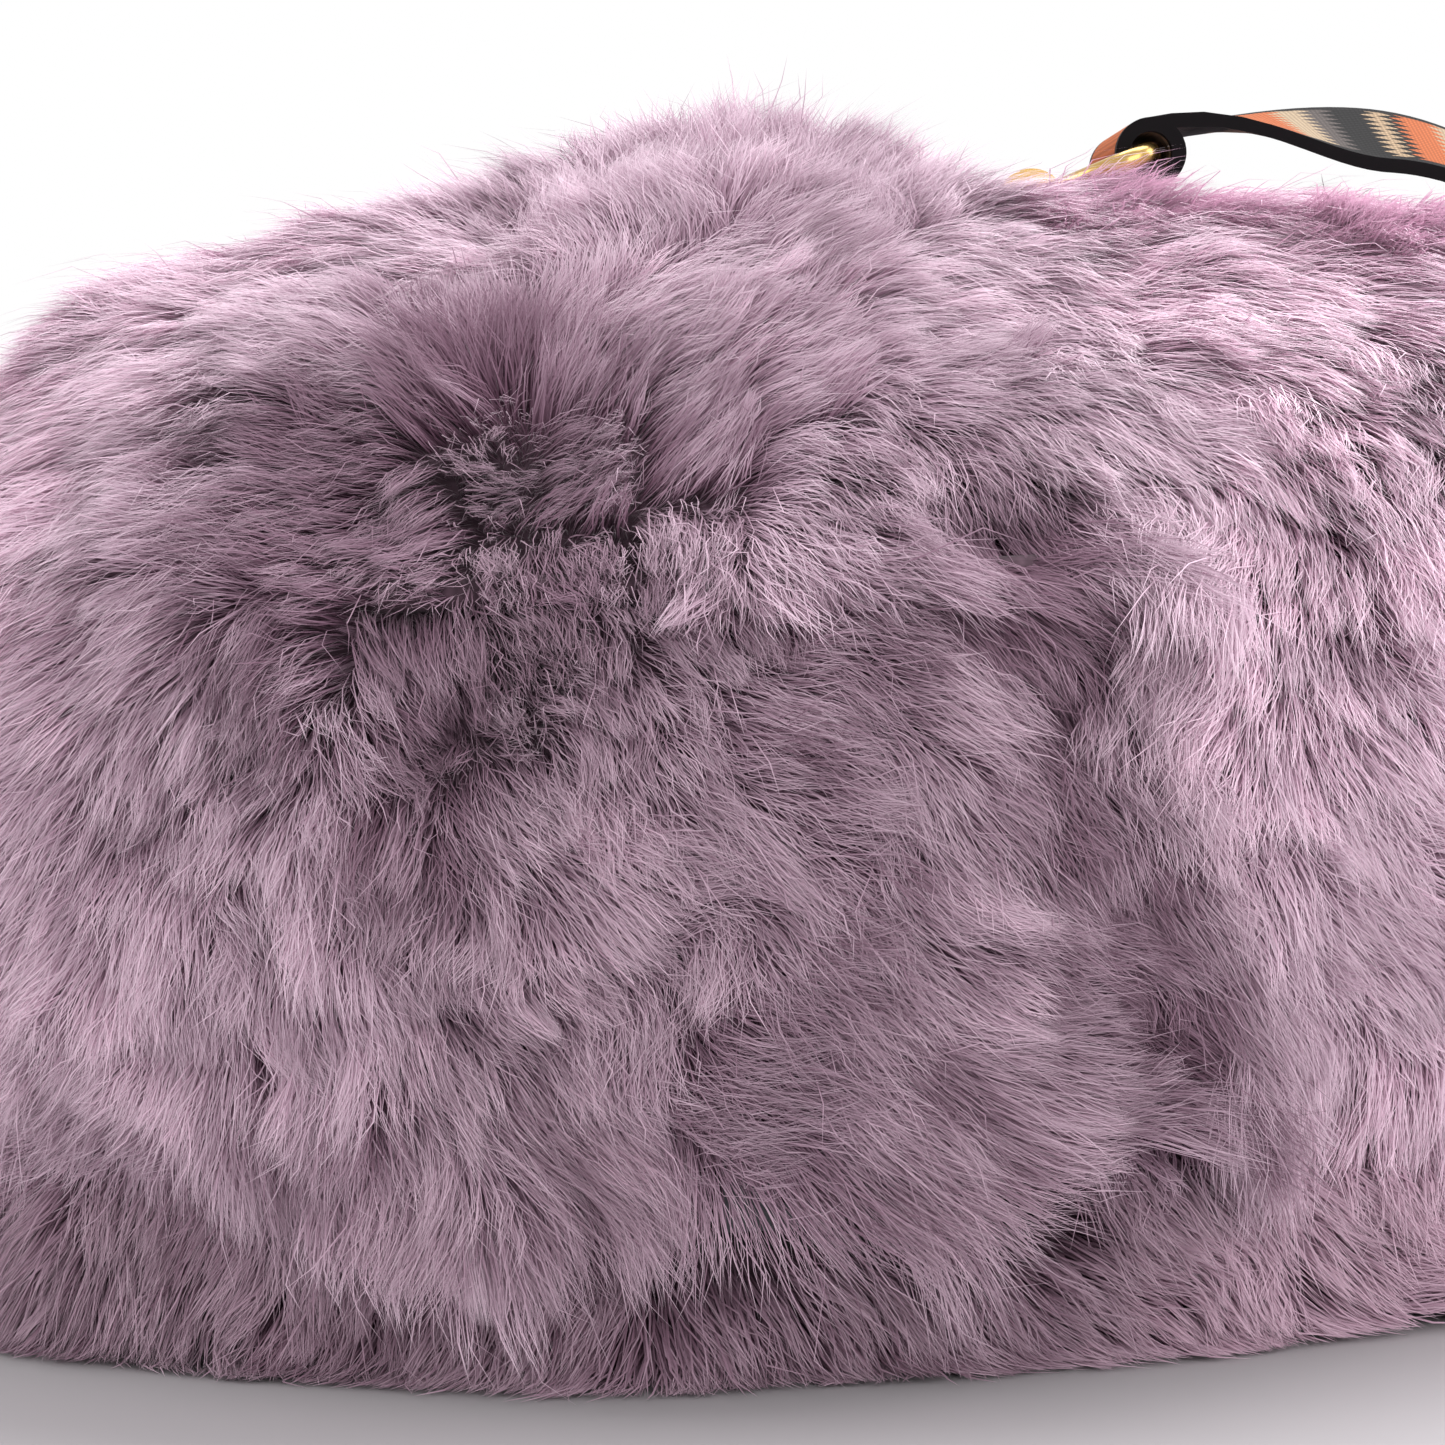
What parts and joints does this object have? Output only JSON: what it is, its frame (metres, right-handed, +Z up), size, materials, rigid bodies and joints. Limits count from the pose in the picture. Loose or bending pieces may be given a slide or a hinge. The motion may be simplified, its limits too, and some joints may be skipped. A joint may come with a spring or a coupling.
{
  "type": "furry windscreen",
  "caption": "Oval furry windscreen: hinged hood of long fur over an open basket, on a low tray with a sprung microphone rail, latch flap and carry strap.",
  "frame": {"origin": "middle of the foot plane, under the centre of the box", "axes": "+Z up; +X along the long side, towards the carry strap; -Y to the front, where the latch flap hangs; +Y to the hinge"},
  "size_m": [0.266, 0.204, 0.146],
  "materials": {
    "fur": "long-pile lilac faux fur",
    "mesh": "black acoustic gauze",
    "frame": "black moulded nylon basket",
    "tray": "black moulded nylon",
    "latch": "grey moulded acetal",
    "brass": "turned brass",
    "rubber": "soft black rubber",
    "steel": "brushed stainless steel",
    "gold": "polished brass-coloured wire",
    "webbing": "woven strap in black, grey, orange and beige",
    "hook_tape": "hook tape",
    "loop_tape": "loop tape",
    "rail": "black anodised extrusion",
    "moulding": "black moulded nylon",
    "knob": "fluted black knob",
    "lyre": "red sprung polyester",
    "clip": "black nylon clip"
  },
  "bodies": {
    "base": {"base_plate": "tray", "bush_boss": "tray", "rail_posts": "tray", "rim_right_rear": "tray", "rim_rear": "tray", "rim_left_rear": "tray", "rim_left_front": "tray", "rim_front": "tray", "rim_right_front": "tray", "stand_bush": "brass", "rubber_feet": "rubber", "cable_grommet": "rubber", "base_mesh": "mesh", "band_front_mid": "fur", "band_front_left": "fur", "band_front_right": "fur", "band_end_left_front": "fur", "band_end_right_front": "fur", "band_end_left_rear": "fur", "band_end_right_rear": "fur", "band_rear_mid": "fur", "base_hinge_brackets": "steel", "hinge_pins": "steel", "latch_keeper": "tray", "mic_rail": "rail", "rail_screws": "steel"},
    "hood": {"hood_rim": "frame", "hood_hoops": "frame", "hood_stringers": "frame", "hood_hubs": "frame", "hood_mesh": "mesh", "fur_left_cap": "fur", "fur_front_panel": "fur", "fur_rear_panel": "fur", "fur_rear_gusset_left": "fur", "fur_rear_gusset_right": "fur", "fur_right_cap": "fur", "hood_hinge_leaves": "steel", "latch_guide": "tray", "hood_loop_patch": "loop_tape", "anchor_top": "gold", "anchor_side": "gold", "carry_strap": "webbing"},
    "flap": {"fur_flap": "fur", "flap_welt": "webbing", "flap_hook_patch": "hook_tape"},
    "latch": {"latch_slide": "latch"},
    "top_ring": {"ring_top": "gold"},
    "side_ring": {"ring_side": "gold"},
    "left_carriage": {"carriage_left": "moulding", "lyre_left": "lyre"},
    "right_carriage": {"carriage_right": "moulding", "lyre_right": "lyre"},
    "left_screw": {"thumb_screw_left": "knob"},
    "right_screw": {"thumb_screw_right": "knob"},
    "left_clip": {"mic_clip_left": "clip"},
    "right_clip": {"mic_clip_right": "clip"}
  },
  "joints": [
    {"name": "hood_hinge", "type": "hinge", "parent": "base", "child": "hood", "pos_m": [0, 0.08348, 0.0262], "axis": [-1, 0, 0], "range_deg": [0, 90]},
    {"name": "flap_hinge", "type": "hinge", "parent": "hood", "child": "flap", "pos_m": [-0.006, -0.09644, 0.088], "axis": [-1, 0, 0], "range_deg": [0, 80]},
    {"name": "latch_travel", "type": "slide", "parent": "hood", "child": "latch", "axis": [1, 0, 0], "range_m": [0, 0.006]},
    {"name": "top_ring_swing", "type": "hinge", "parent": "hood", "child": "top_ring", "pos_m": [0.033, 0.012, 0.13299], "axis": [0, 1, 0], "range_deg": [-3, 3]},
    {"name": "side_ring_swing", "type": "hinge", "parent": "hood", "child": "side_ring", "pos_m": [0.12726, 0.012, 0.0759], "axis": [0, 1, 0], "range_deg": [-3, 3]},
    {"name": "left_carriage_slide", "type": "slide", "parent": "base", "child": "left_carriage", "axis": [1, 0, 0], "range_m": [-0.012, 0.012]},
    {"name": "left_screw_turn", "type": "hinge", "parent": "left_carriage", "child": "left_screw", "pos_m": [-0.045, -0.015, 0.0208], "axis": [0, -1, 0], "continuous": true},
    {"name": "left_clip_swivel", "type": "hinge", "parent": "left_carriage", "child": "left_clip", "pos_m": [-0.045, 0, 0.072], "axis": [0, 0, 1], "range_deg": [-35, 35]},
    {"name": "right_carriage_slide", "type": "slide", "parent": "base", "child": "right_carriage", "axis": [1, 0, 0], "range_m": [-0.012, 0.012]},
    {"name": "right_screw_turn", "type": "hinge", "parent": "right_carriage", "child": "right_screw", "pos_m": [0.045, -0.015, 0.0208], "axis": [0, -1, 0], "continuous": true},
    {"name": "right_clip_swivel", "type": "hinge", "parent": "right_carriage", "child": "right_clip", "pos_m": [0.045, 0, 0.072], "axis": [0, 0, 1], "range_deg": [-35, 35]}
  ]
}
